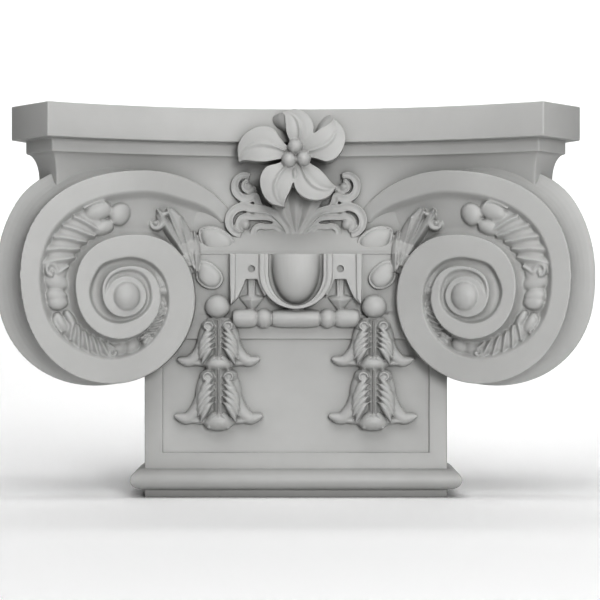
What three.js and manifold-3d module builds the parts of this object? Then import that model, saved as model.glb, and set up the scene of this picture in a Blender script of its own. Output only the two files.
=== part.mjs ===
// Ionic pilaster capital, moulded in one piece of rigid foam, with a flat back.
// Millimetres, +Z up. The front faces -Y and the flat back lies on the plane y = backY.
// The origin is the middle of the overall length and depth, at the level of the underside.
// In this file "depth" is the distance that a point stands in front of the back, and "out" is
// the distance from the middle of the capital, so that left and right are made by one function.
import * as THREE from "three";
import { mergeVertices } from "three/addons/utils/BufferGeometryUtils.js";
import Module from "manifold-3d";

const wasm = await Module();
wasm.setup();
const degrees = Math.PI / 180;

// Overall sizes
const overallHeight = 413;
const overallDepth = 146;
const backY = overallDepth / 2;

// How far the middles of balls and turned beads stand in front of the ground that they sit on,
// and how deep the carved blades are rooted in it
const carvingSeat = 3;
const rootDepth = 12;
const petalRoot = 26;
const fanRoot = 20;

// Neck, with the torus and the fillet under it
const neckHalfWidth = 161;
const neckDepth = 70;
const footHeight = 8.4;
const torusHeight = 22;
const torusProjection = 14.5;
const torusSides = 7;
const panelSide = 19;
const panelSill = 17;
const panelHeight = 121;
const panelRecess = 3;
const panelBevel = 3;
const panelBottom = footHeight + torusHeight + panelSill;
const panelTop = panelBottom + panelHeight;

// Bell: the body between the volutes
const bellSideInset = 11;
const bellLedgeHeight = 259;
const bellLedgeDepth = 76;
const bellSlopeHeight = 22;
const bellWallDepth = 50;

// Abacus: a concave plate with cut corners over a fillet and a cove
const hornOut = 253;
const hornDepth = 135;
const hornCut = 46;
const abacusMidDepth = 71;
const plateHeight = 35.5;
const filletHeight = 14;
const filletInset = 12;
const coveHeight = 27;
const coveInset = 11;
const coveSteps = 3;
const abacusFoot = 300;
const frontArcSteps = 18;
const sideArcSteps = 4;

// Volutes: the rim's radius at each eighth of its first turn, counted from 45 degrees above the
// middle line, over the top and outwards; each later turn is the same, smaller by turnShrink
const rimEighths = [150, 130, 123, 106, 99, 90, 80, 75];
const turnShrink = 0.486;
// The width of the rim's flat band at some of its angles
const bandWidths = [
  [38, 14],
  [60, 22],
  [120, 22],
  [190, 19],
  [245, 25],
  [430, 28],
  [540, 13],
  [620, 18],
  [810, 7],
  [1000, 5],
];
const discRise = 8;
const eyeLift = 4;
const spiralStart = 38;
const spiralStepsPerTurn = 28;
const spiralSteps = 70;
const eyeOut = 178;
const eyeHeight = 214;
const eyeRadius = 15;
const eyeCrown = 6;
const faceTurn = 20;
const channelDrop = 8;
const startSink = 17;
const startSweep = 62;
const flareWidth = 32;
const flareDepth = 31;
const flareLip = 4;
const flareSides = 3;

// Egg-and-dart between the volutes, and the bead-and-reel under it
const plaqueHalfWidth = 70;
const plaqueThickness = 5;
const eggHalfWidth = 27;
const eggDrop = 53;
const eggCrown = 19;
const shellHalfWidth = 38.5;
const shellDrop = 58.5;
const shellProjection = 2;
const dartHalfWidth = 13;
const dartDrop = 33;
const dartOut = 47;
const notchHalfWidth = 6;
const notchRise = 27;
const dimpleRadius = 3.8;
const dimpleHeight = 243;
const dimpleDepth = 3;
const reelHeight = 190.5;
const reelRadius = 9.8;
const reelHalfLength = 25;
const beadHalfLength = 8.2;
const beadRadius = 10.4;
const outerReelLength = 25;

// Flower over the abacus, with its berries, stem and scrolled leaves
const flowerDrop = 50;
const petals = [
  [124, 49],
  [50, 56],
  [-27, 54],
  [-111, 52],
  [182, 61],
];
const petalLag = 30;
const petalHalfWidth = 17.5;
const petalRise = 16;
const berryRadius = 8;
const berryRing = 9;
const stemFoot = 279;
const stemLength = 42;

// Garland of husks that leaves each volute's channel and hangs over the neck
const garlandOut = 82;
const knotHeight = 203;
const knotRadius = 13.5;
const husks = [
  { drop: 14, length: 52, halfWidth: 42 },
  { drop: 67, length: 62, halfWidth: 46 },
];
const leafSpan = 69;

const smooth = (t) => {
  const k = Math.min(1, Math.max(0, t));
  return k * k * (3 - 2 * k);
};
const mix = (a, b, t) => a + (b - a) * t;

// A point at a distance out from the middle, on one side, a depth in front of the back, and a height
const place = (side, out, depth, height) => [side * out, backY - depth, height];

// Solids

// A closed solid from shared vertices and triangles, turned to face outwards
function solid(vertices, triangles) {
  let sixVolumes = 0;
  for (const [a, b, c] of triangles) {
    const [p, q, r] = [vertices[a], vertices[b], vertices[c]];
    sixVolumes +=
      p[0] * (q[1] * r[2] - q[2] * r[1]) +
      p[1] * (q[2] * r[0] - q[0] * r[2]) +
      p[2] * (q[0] * r[1] - q[1] * r[0]);
  }
  const facing = sixVolumes < 0 ? triangles.map(([a, b, c]) => [a, c, b]) : triangles;
  return new wasm.Manifold(
    new wasm.Mesh({
      numProp: 3,
      vertProperties: new Float32Array(vertices.flat()),
      triVerts: new Uint32Array(facing.flat()),
    }),
  );
}

// A closed three.js geometry as a solid
function solidOf(geometry) {
  const bare = geometry.index ? geometry.toNonIndexed() : geometry.clone();
  bare.deleteAttribute("normal");
  bare.deleteAttribute("uv");
  const merged = mergeVertices(bare, 1e-4);
  const { array } = merged.attributes.position;
  const vertices = [];
  for (let i = 0; i < array.length; i += 3) vertices.push([array[i], array[i + 1], array[i + 2]]);
  const triangles = [];
  for (let i = 0; i < merged.index.count; i += 3) {
    const t = [0, 1, 2].map((k) => merged.index.array[i + k]);
    if (new Set(t).size === 3) triangles.push(t);
  }
  return solid(vertices, triangles);
}

// Triangles that fill one flat loop of vertices, wound the same way as the loop
function fill(vertices, loop) {
  const normal = new THREE.Vector3();
  loop.forEach((v, i) => {
    const [p, q] = [vertices[v], vertices[loop[(i + 1) % loop.length]]];
    normal.x += (p[1] - q[1]) * (p[2] + q[2]);
    normal.y += (p[2] - q[2]) * (p[0] + q[0]);
    normal.z += (p[0] - q[0]) * (p[1] + q[1]);
  });
  const size = [normal.x, normal.y, normal.z].map(Math.abs);
  const drop = size.indexOf(Math.max(...size));
  const [a, b] = [(drop + 1) % 3, (drop + 2) % 3];
  const flat = loop.map((v) => new THREE.Vector2(vertices[v][a], vertices[v][b]));
  const turn = THREE.ShapeUtils.area(flat);
  return THREE.ShapeUtils.triangulateShape(flat, []).map((t) => {
    const same = THREE.ShapeUtils.area(t.map((i) => flat[i])) * turn > 0;
    const [p, q, r] = t.map((i) => loop[i]);
    return same ? [p, q, r] : [p, r, q];
  });
}

// A closed solid through rings of as many points each, filled at both ends
function loft(rings) {
  const n = rings[0].length;
  const vertices = rings.flat();
  const triangles = [];
  for (let i = 0; i + 1 < rings.length; i++) {
    for (let j = 0; j < n; j++) {
      const [a, b] = [i * n + j, i * n + ((j + 1) % n)];
      triangles.push([a, b, b + n], [a, b + n, a + n]);
    }
  }
  const ends = [0, rings.length - 1].map((i) => rings[i].map((_, j) => i * n + j));
  triangles.push(...fill(vertices, ends[0].reverse()), ...fill(vertices, ends[1]));
  return solid(vertices, triangles);
}

// Where a blade's cross-section has its points, as shares of its half width
const ridged = [-1, 0, 1];
const rounded = [-1, -0.6, 0, 0.6, 1];

// A carved blade that lies along a path over the front: across its width it rises to a ridge
// or a round crown, and underneath it reaches into the body
function blade(side, path, { halfWidth, crown, base, root = rootDepth, sections = 7, across = ridged }) {
  const rings = [];
  for (let i = 0; i <= sections; i++) {
    const t = i / sections;
    const centre = path.getPoint(t);
    const along = path.getTangent(t);
    const w = Math.max(0.8, halfWidth(t));
    const floor = base(t);
    const ring = across.map((s) => {
      const rise = crown(t) * (1 - s * s);
      return place(side, centre.x + s * w * along.y, floor + rise, centre.y - s * w * along.x);
    });
    ring.push(place(side, centre.x + w * along.y, floor - root, centre.y - w * along.x));
    ring.push(place(side, centre.x - w * along.y, floor - root, centre.y + w * along.x));
    rings.push(ring);
  }
  return loft(rings);
}

const pathThrough = (points) =>
  new THREE.SplineCurve(points.map(([out, height]) => new THREE.Vector2(out, height)));

const swell = (t, least = 0.1) => least + (1 - least) * Math.sin(Math.PI * Math.min(1, t)) ** 0.7;

// An ellipsoid with its half lengths out, forward and up
function ball(side, out, depth, height, [halfOut, halfDepth, halfHeight], around = 10) {
  const geometry = new THREE.SphereGeometry(1, around, Math.ceil(around / 2));
  geometry.scale(halfOut, halfDepth, halfHeight);
  geometry.translate(...place(side, out, depth, height));
  return solidOf(geometry);
}

// A plate with the outline of a shape drawn in distance out and height, between two depths
function plate(shape, fromDepth, toDepth) {
  const geometry = new THREE.ExtrudeGeometry(shape, {
    depth: toDepth - fromDepth,
    bevelEnabled: false,
    curveSegments: 7,
  });
  geometry.rotateX(Math.PI / 2);
  geometry.translate(0, backY - fromDepth, 0);
  return solidOf(geometry);
}

// Neck

const neckRing = (grow, height) => [
  place(-1, neckHalfWidth + grow, 0, height),
  place(-1, neckHalfWidth + grow, neckDepth + grow, height),
  place(1, neckHalfWidth + grow, neckDepth + grow, height),
  place(1, neckHalfWidth + grow, 0, height),
];

function neck() {
  const rings = [neckRing(0, 0), neckRing(0, footHeight)];
  for (let i = 1; i < torusSides; i++) {
    const turn = (i / torusSides) * Math.PI;
    const height = footHeight + (torusHeight * (1 - Math.cos(turn))) / 2;
    rings.push(neckRing(torusProjection * Math.sin(turn), height));
  }
  rings.push(neckRing(0, footHeight + torusHeight), neckRing(0, bellLedgeHeight - shellDrop));
  return loft(rings);
}

// The sunk field of the neck's front, with sloped sides
function sunkPanel() {
  const halfWidth = neckHalfWidth - panelSide;
  const ring = (inset, depth) => [
    place(-1, halfWidth - inset, depth, panelBottom + inset),
    place(1, halfWidth - inset, depth, panelBottom + inset),
    place(1, halfWidth - inset, depth, panelTop - inset),
    place(-1, halfWidth - inset, depth, panelTop - inset),
  ];
  return loft([
    ring(panelBevel, neckDepth - panelRecess),
    ring(0, neckDepth),
    ring(0, neckDepth + panelRecess),
  ]);
}

// Bell

function bell() {
  const halfWidth = neckHalfWidth - bellSideInset;
  const slopeTop = bellLedgeHeight + bellSlopeHeight;
  const section = [
    [0, panelTop],
    [neckDepth, panelTop],
    [neckDepth, bellLedgeHeight - shellDrop],
    [bellLedgeDepth, bellLedgeHeight],
    [bellWallDepth, slopeTop],
    [bellWallDepth, overallHeight - plateHeight],
    [0, overallHeight - plateHeight],
  ];
  return loft([-1, 1].map((side) => section.map(([d, h]) => place(side, halfWidth, d, h))));
}

// Abacus

// Half of the plate's outline, as [out, depth] from the middle of the front to the back,
// with every edge moved in by inset
function abacusHalfOutline(inset) {
  const sag = hornDepth - abacusMidDepth;
  const radius = (hornOut ** 2 + sag ** 2) / (2 * sag) + inset;
  const arcDepth = abacusMidDepth - inset + radius;
  const cut = hornOut + hornDepth - inset * Math.SQRT2;
  const reach = cut - arcDepth;
  const horn = (reach + Math.sqrt(2 * radius ** 2 - reach ** 2)) / 2;
  const swap = hornOut + hornCut - hornDepth;
  const turn = Math.asin(horn / radius);
  const front = [];
  for (let i = 0; i <= frontArcSteps / 2; i++) {
    const a = (2 * i * turn) / frontArcSteps;
    front.push([radius * Math.sin(a), arcDepth - radius * Math.cos(a)]);
  }
  const backTurn = Math.asin(swap / radius);
  const side = [];
  for (let i = 0; i <= sideArcSteps; i++) {
    const a = mix(turn, backTurn, i / sideArcSteps);
    const [out, depth] = [arcDepth - radius * Math.cos(a) + swap, radius * Math.sin(a) - swap];
    side.push([out, Math.max(0, depth)]);
  }
  return [...front, ...side];
}

function abacusRing(inset, height) {
  const half = abacusHalfOutline(inset);
  const right = half.map(([out, depth]) => place(1, out, depth, height));
  const left = half.slice(1).map(([out, depth]) => place(-1, out, depth, height));
  return [...left.reverse(), ...right];
}

function abacus() {
  const plateFoot = overallHeight - plateHeight;
  const filletFoot = plateFoot - filletHeight;
  const rings = [
    abacusRing(0, overallHeight),
    abacusRing(0, plateFoot),
    abacusRing(filletInset, plateFoot),
    abacusRing(filletInset, filletFoot),
  ];
  for (let i = 1; i <= coveSteps; i++) {
    const a = (i / coveSteps) * 90 * degrees;
    const inset = filletInset + coveInset * Math.sin(a);
    rings.push(abacusRing(inset, filletFoot - coveHeight * (1 - Math.cos(a))));
  }
  rings.push(abacusRing(filletInset + coveInset, abacusFoot));
  return loft(rings);
}

// Volutes

// The rim's radius at an angle, which grows by 360 each turn: 90 is up and 180 is outwards
function rimRadius(angle) {
  const at = (i) => Math.log(rimEighths[((i % 8) + 8) % 8] * turnShrink ** Math.floor(i / 8));
  const position = angle / 45 - 1;
  const i = Math.floor(position);
  const t = position - i;
  const [a, b, c, d] = [at(i - 1), at(i), at(i + 1), at(i + 2)];
  const bend = 2 * b + (c - a) * t + (2 * a - 5 * b + 4 * c - d) * t * t;
  return Math.exp((bend + (3 * b - a - 3 * c + d) * t ** 3) / 2);
}

// How wide the rim's flat band is at an angle
function bandWidth(angle) {
  const i = Math.max(0, bandWidths.findIndex(([a], k) => k > 0 && angle <= a) - 1);
  const [[a, wide], [b, next]] = [bandWidths[i], bandWidths[i + 1]];
  return mix(wide, next, smooth((angle - a) / (b - a)));
}

// How far the band stands in front of the plane of the volute's first turn
const bandRise = (angle) =>
  discRise * smooth((angle - 270) / 180) +
  eyeLift * smooth((angle - 450) / 450) -
  startSink * (1 - smooth((angle - spiralStart) / startSweep));

const channelFloor = (angle) => bandRise(angle) - channelDrop * (1 - 0.6 * smooth((angle - 300) / 500));

const flare = (angle) => flareWidth * smooth((275 - angle) / 90) * smooth((angle - 70) / 70);

const rimReach = Math.max(
  ...Array.from({ length: 90 }, (_, i) => -rimRadius(135 + i) * Math.cos((135 + i) * degrees)),
);
const eyeDepth = overallDepth - rimReach * Math.sin(faceTurn * degrees);

// A point of the volute's turned face: radius and angle about the eye, and rise off the face
function onFace(side, radius, angle, rise) {
  const [across, up] = [-radius * Math.cos(angle * degrees), radius * Math.sin(angle * degrees)];
  const [c, s] = [Math.cos(faceTurn * degrees), Math.sin(faceTurn * degrees)];
  return place(side, eyeOut + across * c - rise * s, eyeDepth + across * s + rise * c, eyeHeight + up);
}

function volute(side) {
  const vertices = [];
  const triangles = [];
  const add = (p) => vertices.push(p) - 1;
  const quad = (a, b, c, d) => {
    triangles.push(...[[a, b, c], [a, c, d]].filter((t) => new Set(t).size === 3));
  };
  const turn = spiralStepsPerTurn;
  const angleOf = (i) => spiralStart + (i * 360) / turn;
  const ringRadius = rimRadius(angleOf(spiralSteps));
  const eyeRise = bandRise(angleOf(spiralSteps));

  // The rim of every turn, and the ring around the eye where the rim ends
  const ring = [];
  for (let i = 0; i < turn; i++) {
    ring.push(add(onFace(side, ringRadius, angleOf(i), eyeRise)));
  }
  const rim = [];
  for (let i = 0; i < spiralSteps; i++) {
    rim.push(add(onFace(side, rimRadius(angleOf(i)), angleOf(i), bandRise(angleOf(i)))));
  }
  const outer = (i) => (i < spiralSteps ? rim[i] : ring[i % turn]);

  // The band, the channel beside it and the rise to the next turn
  const columns = [];
  for (let i = 0; i < spiralSteps; i++) {
    const angle = angleOf(i);
    const edge = rimRadius(angle);
    const next = i + turn < spiralSteps ? rimRadius(angle + 360) : ringRadius;
    const gap = Math.max(1, edge - next);
    const band = Math.min(bandWidth(angle), 0.8 * gap);
    const slope = Math.min(2, 0.2 * (gap - band));
    const wall = Math.min(7, 0.4 * (gap - band));
    columns.push([
      outer(i),
      add(onFace(side, edge - band, angle, bandRise(angle))),
      add(onFace(side, edge - band - slope, angle, channelFloor(angle))),
      add(onFace(side, next + wall, angle, channelFloor(angle))),
      outer(i + turn),
    ]);
  }
  columns.push(columns[0].map(() => outer(spiralSteps)));
  for (let i = 0; i < spiralSteps; i++) {
    const [here, there] = [columns[i], columns[i + 1]];
    for (let j = 0; j < 4; j++) quad(here[j], here[j + 1], there[j + 1], there[j]);
  }

  // The eye, a low dome
  let inner = ring;
  for (const [share, rise] of [[1, 0], [0.72, 0.7]]) {
    const next = ring.map((_, i) =>
      add(onFace(side, eyeRadius * share, angleOf(i), eyeRise + eyeCrown * rise)),
    );
    for (let i = 0; i < turn; i++) {
      const k = (i + 1) % turn;
      quad(inner[i], next[i], next[k], inner[k]);
    }
    inner = next;
  }
  const middle = add(onFace(side, 0, 0, eyeRise + eyeCrown));
  for (let i = 0; i < turn; i++) triangles.push([inner[i], middle, inner[(i + 1) % turn]]);

  // The side: a hollow flare behind the rim, a lip, and straight back to the wall
  const start = columns[0];
  const loop = [];
  for (let i = 0; i < turn; i++) loop.push([outer(i), angleOf(i)]);
  for (let j = 4; j > 0; j--) loop.push([start[j], spiralStart]);
  let level = loop.map(([v]) => v);
  const wrap = (points) => {
    const next = points.map(add);
    next.forEach((_, i) => {
      const k = (i + 1) % next.length;
      quad(level[i], level[k], next[k], next[i]);
    });
    level = next;
  };
  const spread = (wide, back) =>
    loop.map(([v, angle]) => {
      const [x, y, z] = vertices[v];
      const out = -wide * flare(angle) * Math.cos(angle * degrees);
      return [x + side * out, Math.min(backY, y + back), z + wide * flare(angle) * Math.sin(angle * degrees)];
    });
  for (let k = 1; k <= flareSides; k++) {
    const a = (k / flareSides) * 90 * degrees;
    wrap(spread(1 - Math.cos(a), flareDepth * Math.sin(a)));
  }
  wrap(spread(1, flareDepth + flareLip));
  wrap(level.map((v) => [vertices[v][0], backY, vertices[v][2]]));
  triangles.push(...fill(vertices, level));
  return solid(vertices, triangles);
}

// How far the bell stands in front of the back at a height
function bellDepth(height) {
  const foot = bellLedgeHeight - shellDrop;
  if (height < foot) return neckDepth;
  if (height < bellLedgeHeight) return mix(neckDepth, bellLedgeDepth, (height - foot) / shellDrop);
  const t = Math.min(1, (height - bellLedgeHeight) / bellSlopeHeight);
  return mix(bellLedgeDepth, bellWallDepth, t);
}

// How far the ground of the carving stands in front of the back between the volutes' channels
function groundDepth(out, height) {
  const angle = Math.atan2(height - eyeHeight, eyeOut - out) / degrees;
  const turn = faceTurn * degrees;
  const channel = eyeDepth + (out - eyeOut) * Math.tan(turn) + channelFloor(angle) / Math.cos(turn);
  return Math.max(bellDepth(height), channel);
}

// Garland in the volute's channel

// The middle of the channel at an angle
function channelMiddle(angle) {
  const outerEdge = rimRadius(angle) - bandWidth(angle);
  return mix(outerEdge, rimRadius(angle + 360), 0.5);
}

// A blade carved on the face, from one [radius, angle] to another
function faceBlade(side, [fromRadius, fromAngle], [toRadius, toAngle], halfWidth, crown, sections = 4) {
  const rings = [];
  for (let i = 0; i <= sections; i++) {
    const t = i / sections;
    const [radius, angle] = [mix(fromRadius, toRadius, t), mix(fromAngle, toAngle, t)];
    const w = Math.max(0.6, halfWidth * swell(mix(0.12, 0.9, t)));
    const sweep = (toAngle - fromAngle) * degrees * radius;
    const run = Math.hypot(toRadius - fromRadius, sweep);
    const [radial, round] = [sweep / run, -(toRadius - fromRadius) / run];
    const floor = channelFloor(angle) - 3;
    const top = floor + 3 + crown * swell(mix(0.2, 0.85, t));
    const at = (s, rise) =>
      onFace(side, radius + s * w * radial, angle + (s * w * round) / (radius * degrees), rise);
    rings.push([at(-1, floor), at(-0.5, mix(floor, top, 0.8)), at(0.3, top), at(1, floor)]);
  }
  return loft(rings);
}

function faceBall(side, radius, angle, halfWidth, halfLength = halfWidth, around = 6) {
  const [x, y, z] = onFace(side, radius, angle, channelFloor(angle) + 1);
  return ball(side, Math.abs(x), backY - y, z, [halfLength, halfWidth * 0.8, halfWidth], around);
}

// A husk lying in the channel: two cup lobes, slanting blades and a curled tip
function channelHusk(side, fromAngle, toAngle, blades) {
  const pieces = [];
  const half = (angle) => (rimRadius(angle) - bandWidth(angle) - rimRadius(angle + 360)) / 2 - 3;
  for (const s of [-0.5, 0.5]) {
    const radius = channelMiddle(fromAngle) + s * half(fromAngle);
    pieces.push(faceBall(side, radius, fromAngle, half(fromAngle) * 0.56));
  }
  const sweep = (toAngle - fromAngle) / (blades + 1);
  for (let i = 0; i < blades; i++) {
    const a = fromAngle + sweep * (i + 0.3);
    const b = Math.min(toAngle, a + sweep * 1.9);
    const from = [channelMiddle(a) - half(a) * 0.6, a];
    const to = [channelMiddle(b) + half(b) * 0.7, b];
    pieces.push(faceBlade(side, from, to, half(a) * 0.46, 7, 3));
  }
  pieces.push(faceBall(side, channelMiddle(toAngle) - 1, toAngle, half(toAngle) * 0.4));
  return pieces;
}

function channelGarland(side) {
  return [
    faceBall(side, channelMiddle(92), 92, 11, 11, 8),
    ...channelHusk(side, 105, 156, 3),
    faceBall(side, channelMiddle(183), 183, 10, 10, 8),
    ...channelHusk(side, 200, 258, 3),
    faceBall(side, channelMiddle(281), 281, 8),
    ...channelHusk(side, 298, 345, 2),
    faceBall(side, channelMiddle(370), 370, 4.6),
  ];
}

// Egg-and-dart

// The outline of the egg or its shell: straight down from the ledge and round below
function eggShape(halfWidth, drop) {
  const straight = bellLedgeHeight - drop * 0.36;
  const shape = new THREE.Shape();
  shape.moveTo(-halfWidth, bellLedgeHeight);
  shape.lineTo(-halfWidth, straight);
  shape.absellipse(0, straight, halfWidth, drop * 0.64, Math.PI, 2 * Math.PI, false, 0);
  shape.lineTo(halfWidth, bellLedgeHeight);
  shape.closePath();
  return shape;
}

function eggAndDart() {
  const front = bellLedgeDepth + plaqueThickness;
  const notchTop = bellLedgeHeight - notchRise;
  const plaque = new THREE.Shape();
  plaque.moveTo(-plaqueHalfWidth, bellLedgeHeight);
  plaque.lineTo(-plaqueHalfWidth, bellLedgeHeight - dartDrop - notchRise + 8);
  plaque.quadraticCurveTo(-dartOut - 12, notchTop - 14, -dartOut - notchHalfWidth, notchTop);
  plaque.lineTo(-dartOut + notchHalfWidth, notchTop);
  plaque.lineTo(-dartOut + notchHalfWidth + 12, notchTop - 14);
  plaque.lineTo(dartOut - notchHalfWidth - 12, notchTop - 14);
  plaque.lineTo(dartOut - notchHalfWidth, notchTop);
  plaque.lineTo(dartOut + notchHalfWidth, notchTop);
  const corner = bellLedgeHeight - dartDrop - notchRise + 8;
  plaque.quadraticCurveTo(dartOut + 12, notchTop - 14, plaqueHalfWidth, corner);
  plaque.lineTo(plaqueHalfWidth, bellLedgeHeight);
  plaque.closePath();
  const shell = eggShape(shellHalfWidth, shellDrop);
  const hollow = eggShape(eggHalfWidth + 2, eggDrop + 2);
  const around = plate(plaque, neckDepth - 10, front);
  const cup = plate(shell, neckDepth - 10, front + shellProjection);
  const nest = around.add(cup).subtract(plate(hollow, neckDepth - 2, overallDepth));
  const eggSize = [eggHalfWidth, eggCrown, eggDrop];
  const egg = ball(1, 0, neckDepth - 3, bellLedgeHeight, eggSize, 14);
  const joined = nest.add(egg.trimByPlane([0, 0, -1], -bellLedgeHeight));
  const dimples = [-1, 1].map((side) => {
    const drill = new THREE.CylinderGeometry(dimpleRadius, dimpleRadius, 2 * dimpleDepth, 10);
    drill.translate(...place(side, dartOut, front, dimpleHeight));
    return solidOf(drill);
  });
  return [joined.subtract(wasm.Manifold.union(dimples)), dart(-1), dart(1)];
}

function dart(side) {
  const top = bellLedgeHeight - notchRise;
  const levels = [
    [top + 1, 4, 7],
    [top - dartDrop * 0.3, 6, 9],
    [top - dartDrop * 0.62, dartHalfWidth, 10],
    [top - dartDrop, 0.8, 2],
  ];
  return loft(
    levels.map(([height, half, rise]) => [
      place(side, dartOut - half, neckDepth - 8, height),
      place(side, dartOut - half, neckDepth + rise * 0.3, height),
      place(side, dartOut, neckDepth + rise, height),
      place(side, dartOut + half, neckDepth + rise * 0.3, height),
      place(side, dartOut + half, neckDepth - 8, height),
    ]),
  );
}

// Bead-and-reel

function turnedBead(middle, halfLength, radius, fullness) {
  const profile = [];
  const steps = 3;
  for (let i = 0; i <= steps; i++) {
    const along = mix(-1, 1, i / steps);
    const r = radius * (1 - fullness * along ** 2);
    profile.push(new THREE.Vector2(r, along * halfLength));
  }
  const points = [new THREE.Vector2(0, -halfLength), ...profile, new THREE.Vector2(0, halfLength)];
  const geometry = new THREE.LatheGeometry(points, 10);
  geometry.rotateZ(Math.PI / 2);
  geometry.translate(...place(1, middle, neckDepth + carvingSeat, reelHeight));
  return solidOf(geometry);
}

function beadAndReel() {
  const beadMiddle = reelHalfLength + 1.2 + beadHalfLength;
  const outerMiddle = beadMiddle + beadHalfLength + 1.2 + outerReelLength / 2;
  const pieces = [turnedBead(0, reelHalfLength, reelRadius, 0.16)];
  for (const side of [-1, 1]) {
    pieces.push(turnedBead(side * beadMiddle, beadHalfLength, beadRadius, 0.5));
    pieces.push(turnedBead(side * outerMiddle, outerReelLength / 2, reelRadius, 0.2));
  }
  return pieces;
}

// Flower, stem and scrolled leaves

const flowerHeight = overallHeight - flowerDrop;

// A petal from the flower's middle, which bends round towards the angle of its tip
function petal([tip, reach]) {
  const points = [];
  for (let i = 0; i <= 5; i++) {
    const t = i / 5;
    const angle = (tip - petalLag * (1 - t ** 1.6)) * degrees;
    const radius = mix(berryRadius, reach, 1 - (1 - t) ** 1.2);
    points.push([radius * Math.cos(angle), flowerHeight + radius * Math.sin(angle)]);
  }
  return blade(1, pathThrough(points), {
    halfWidth: (t) => petalHalfWidth * swell(mix(0.16, 1, t ** 0.8)) ** 0.8,
    crown: (t) => 3 * (1 - t) + 2.5,
    base: (t) => abacusMidDepth + petalRise * (0.55 + 0.45 * Math.sin(Math.PI * mix(0.1, 0.85, t))),
    root: petalRoot,
    sections: 7,
    across: rounded,
  });
}

function flower() {
  const pieces = petals.map(petal);
  for (const turn of [95, 215, 335]) {
    const out = berryRing * Math.cos(turn * degrees);
    const up = berryRing * Math.sin(turn * degrees);
    const size = [berryRadius, berryRadius, berryRadius];
    pieces.push(ball(1, out, abacusMidDepth + petalRise - 1, flowerHeight + up, size));
  }
  return pieces;
}

function stem() {
  return [-30, -15, 0, 15, 30].map((lean) => {
    const reach = stemLength * Math.cos(lean * degrees);
    const tip = [stemLength * Math.sin(lean * degrees), stemFoot + reach];
    return blade(1, pathThrough([[0, stemFoot], [tip[0] / 2, stemFoot + reach / 2], tip]), {
      halfWidth: (t) => 1.5 + 4.5 * t,
      crown: (t) => 3 + 2 * t,
      base: () => bellWallDepth + 4,
      sections: 2,
    });
  });
}

// A leaf that runs from its root and curls over into a scroll, in shares of leafSpan
function scroll(side, { root, centre, radius, from, to, halfWidth, crown }) {
  const arc = [];
  for (let i = 0; i <= 5; i++) {
    const a = mix(from, to, i / 5) * degrees;
    const r = radius * mix(1, 0.7, i / 5);
    arc.push([centre[0] - r * Math.cos(a), centre[1] + r * Math.sin(a)]);
  }
  const middle = [mix(root[0], arc[0][0], 0.45), mix(root[1], arc[0][1], 0.7)];
  const points = [root, middle, ...arc].map(([x, z]) => [x * leafSpan, stemFoot + z * leafSpan]);
  return blade(side, pathThrough(points), {
    halfWidth: (t) => leafSpan * halfWidth * swell(mix(0.15, 0.9, t)),
    crown: (t) => leafSpan * crown * (0.5 + 0.5 * t),
    base: () => bellWallDepth + 3,
    sections: 7,
  });
}

// Root, centre, radius, the angles that the strand starts and ends at, half width and crown
const scrolls = [
  [[0.09, 0.03], [0.78, 0.22], 0.22, 80, 285, 0.08, 0.19],
  [[0.10, 0.01], [0.65, 0.14], 0.13, 75, 230, 0.07, 0.16],
  [[0.09, 0.00], [0.48, 0.04], 0.14, 85, 190, 0.06, 0.13],
  [[0.49, 0.42], [0.77, 0.77], 0.19, -60, -280, 0.07, 0.17],
  [[0.58, 0.96], [0.74, 0.77], 0.09, 110, 300, 0.05, 0.14],
];

const scrolledLeaves = (side) =>
  scrolls.map(([root, centre, radius, from, to, halfWidth, crown]) =>
    scroll(side, { root, centre, radius, from, to, halfWidth, crown }));

// Garland on the neck

// The blades of the husk over the knot, which spread up into the channel
function fanLeaf(side) {
  const blades = [
    [[-0.24, 0.61], [-0.30, 0.43], [-0.43, 0.27]],
    [[-0.32, 0.56], [-0.37, 0.39], [-0.45, 0.23]],
    [[-0.40, 0.49], [-0.44, 0.33], [-0.48, 0.20]],
    [[-0.49, 0.38], [-0.49, 0.27], [-0.49, 0.17]],
  ];
  const [reach] = rimEighths;
  return blades.map((points) => {
    const path = pathThrough(points.map(([x, z]) => [eyeOut + x * reach, eyeHeight + z * reach]));
    return blade(side, path, {
      halfWidth: (t) => 6.5 * swell(mix(0.08, 0.9, t)),
      crown: () => 7,
      base: (t) => groundDepth(...path.getPoint(t).toArray()),
      root: fanRoot,
      sections: 4,
    });
  });
}

function husk(side, { drop, length, halfWidth }) {
  const pieces = [];
  const middle = garlandOut;
  const top = knotHeight - drop;
  const foot = top - length;
  for (const lean of [-1, 1]) {
    const at = (out, share) => [middle + lean * out * halfWidth, top - share * length];
    pieces.push(
      blade(side, pathThrough([at(0.18, 0), at(0.4, 0.35), at(0.5, 0.66), at(1, 0.86)]), {
        halfWidth: (t) => halfWidth * 0.36 * swell(mix(0.25, 0.97, t)),
        crown: (t) => mix(9, 6, t),
        base: () => neckDepth,
        sections: 5,
        across: rounded,
      }),
      blade(side, pathThrough([at(0.14, 0.02), at(0.3, 0.3), at(0.36, 0.72)]), {
        halfWidth: (t) => halfWidth * 0.24 * swell(mix(0.2, 0.9, t)),
        crown: () => 9,
        base: () => neckDepth + 4,
        sections: 4,
      }),
    );
  }
  const bud = [halfWidth * 0.33, 12, length * 0.22];
  pieces.push(ball(side, middle, neckDepth + 3, foot + bud[2], bud));
  return pieces;
}

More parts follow.
